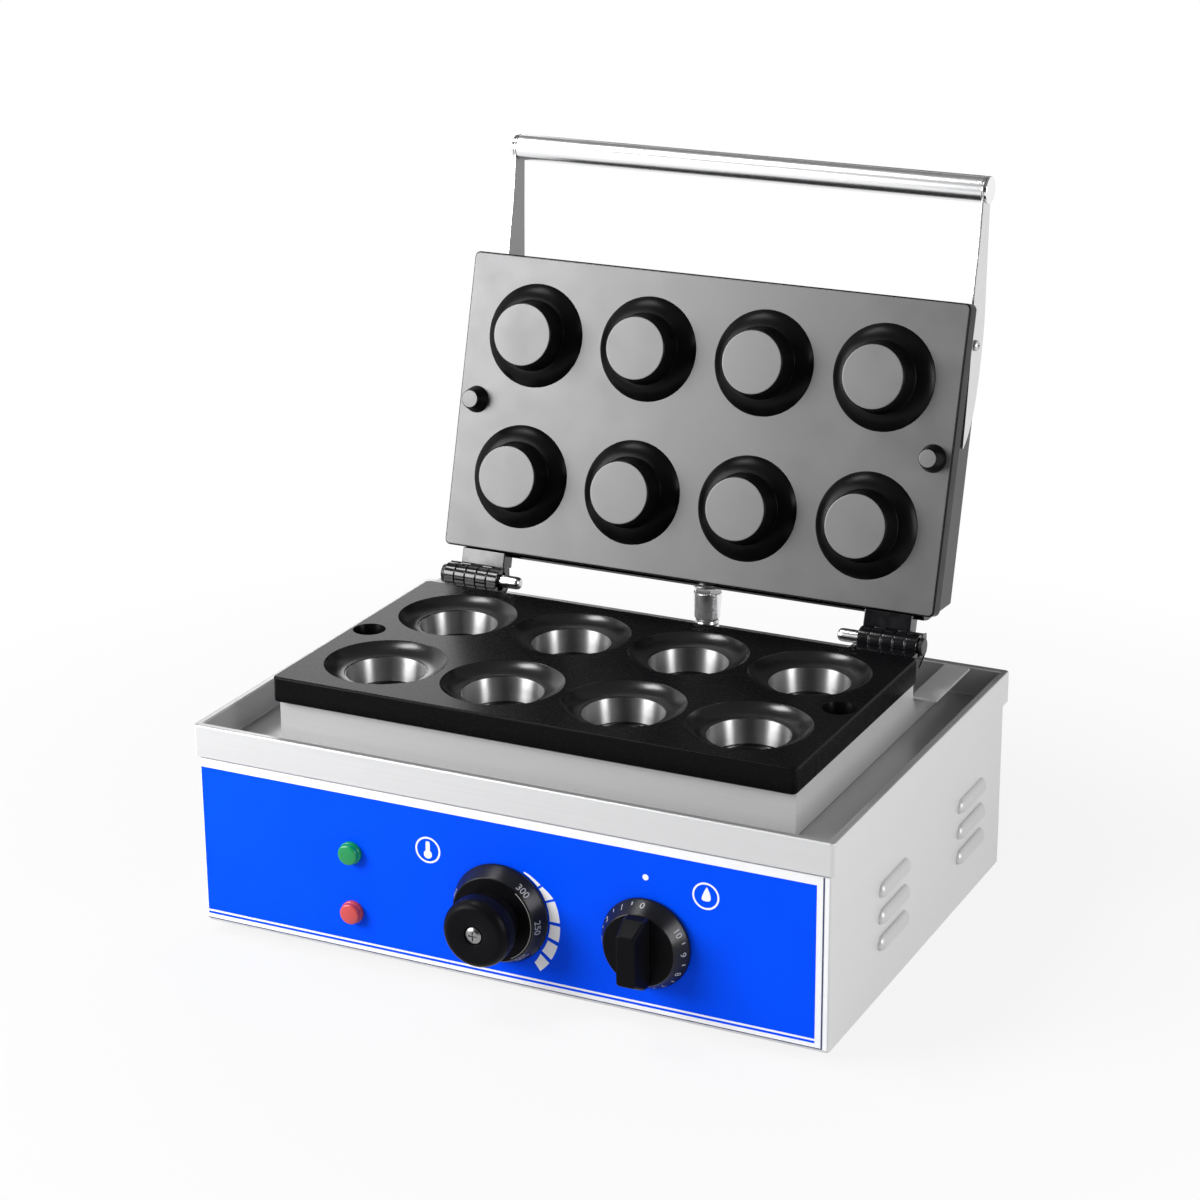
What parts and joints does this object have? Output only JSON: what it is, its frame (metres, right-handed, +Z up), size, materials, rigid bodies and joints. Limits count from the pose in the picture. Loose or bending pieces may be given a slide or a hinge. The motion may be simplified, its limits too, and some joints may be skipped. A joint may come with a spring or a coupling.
{
  "type": "tartlet maker",
  "caption": "Counter-top electric tartlet maker: cup die in a steel housing, punch die in a hinged lid with a bar handle.",
  "frame": {"origin": "on the counter, under the middle of the bounding box of the machine as it stands with its lid open", "axes": "+Z up, +X to the operator's right, -Y towards the operator"},
  "size_m": [0.4526, 0.427, 0.4706],
  "materials": {
    "brushed_stainless": "brushed stainless sheet",
    "satin_stainless": "satin stainless sheet and bar",
    "zinc_steel": "zinc-plated or sheathed steel",
    "chrome": "polished chrome",
    "lower_nonstick": "cast aluminium with a glossy near-black non-stick coat",
    "upper_nonstick": "cast aluminium with a charcoal non-stick coat",
    "black_enamel": "black heat-proof paint on sheet steel",
    "panel_blue": "glossy vivid blue with a white edge",
    "black_gloss_plastic": "moulded, semi-gloss",
    "black_plastic": "moulded, matte",
    "conduit_grey": "ribbed, matte",
    "rubber": "matte",
    "green_lens": "coloured lamp lens",
    "red_lens": "coloured lamp lens",
    "copper": "drawn copper tube",
    "mineral_wool": "pressed mineral wool"
  },
  "bodies": {
    "base": {"body_shell": "brushed_stainless", "bottom_pan": "brushed_stainless", "conduit": "conduit_grey", "conduit_base_gland": "black_plastic", "conduit_base_nut": "black_plastic", "control_panel": "panel_blue", "die_well": "satin_stainless", "foot_front_left": "rubber", "foot_front_right": "rubber", "foot_rear_left": "rubber", "foot_rear_right": "rubber", "green_lamp": "green_lens", "green_lamp_body": "black_plastic", "heat_shield": "zinc_steel", "hinge_pin_left": "satin_stainless", "hinge_pin_right": "satin_stainless", "lower_die": "lower_nonstick", "lower_heater_clamp_left": "zinc_steel", "lower_heater_clamp_right": "zinc_steel", "lower_heating_element": "zinc_steel", "lower_hinge_left": "lower_nonstick", "lower_hinge_right": "lower_nonstick", "rear_cable_gland": "black_plastic", "rear_gland_nut": "black_plastic", "red_lamp": "red_lens", "red_lamp_body": "black_plastic", "terminal_block": "black_plastic", "thermostat_body": "black_plastic", "thermostat_bulb": "copper", "timer_body": "zinc_steel", "top_tray": "brushed_stainless"},
    "lid": {"arm_left": "satin_stainless", "arm_right": "satin_stainless", "arm_screw_left": "satin_stainless", "arm_screw_right": "satin_stainless", "handle_cap_left": "chrome", "handle_cap_right": "chrome", "handle_rod": "zinc_steel", "handle_tube": "chrome", "lid_conduit_gland": "black_plastic", "lid_cover": "black_enamel", "lid_post_front_left": "zinc_steel", "lid_post_front_right": "zinc_steel", "lid_post_rear_left": "zinc_steel", "lid_post_rear_right": "zinc_steel", "locating_pin_left": "satin_stainless", "locating_pin_right": "satin_stainless", "upper_die": "upper_nonstick", "upper_heater_clamp_left": "zinc_steel", "upper_heater_clamp_right": "zinc_steel", "upper_heating_element": "zinc_steel", "upper_hinge_left": "upper_nonstick", "upper_hinge_right": "upper_nonstick", "insulation_pad": "mineral_wool"},
    "thermostat_control": {"thermostat_dial": "black_gloss_plastic", "thermostat_grip": "black_gloss_plastic", "thermostat_spindle": "zinc_steel"},
    "timer_control": {"timer_knob": "black_gloss_plastic", "timer_spindle": "zinc_steel"}
  },
  "joints": [
    {"name": "lid_hinge", "type": "hinge", "parent": "base", "child": "lid", "pos_m": [0, 0.08944, 0.1759], "axis": [1, 0, 0], "range_deg": [0, 105.58]},
    {"name": "thermostat_turn", "type": "hinge", "parent": "base", "child": "thermostat_control", "pos_m": [0, -0.17347, 0.0585], "axis": [0, 1, 0], "range_deg": [0, 270]},
    {"name": "timer_turn", "type": "hinge", "parent": "base", "child": "timer_control", "pos_m": [0.1015, -0.17347, 0.0585], "axis": [0, 1, 0], "range_deg": [0, 300]}
  ]
}
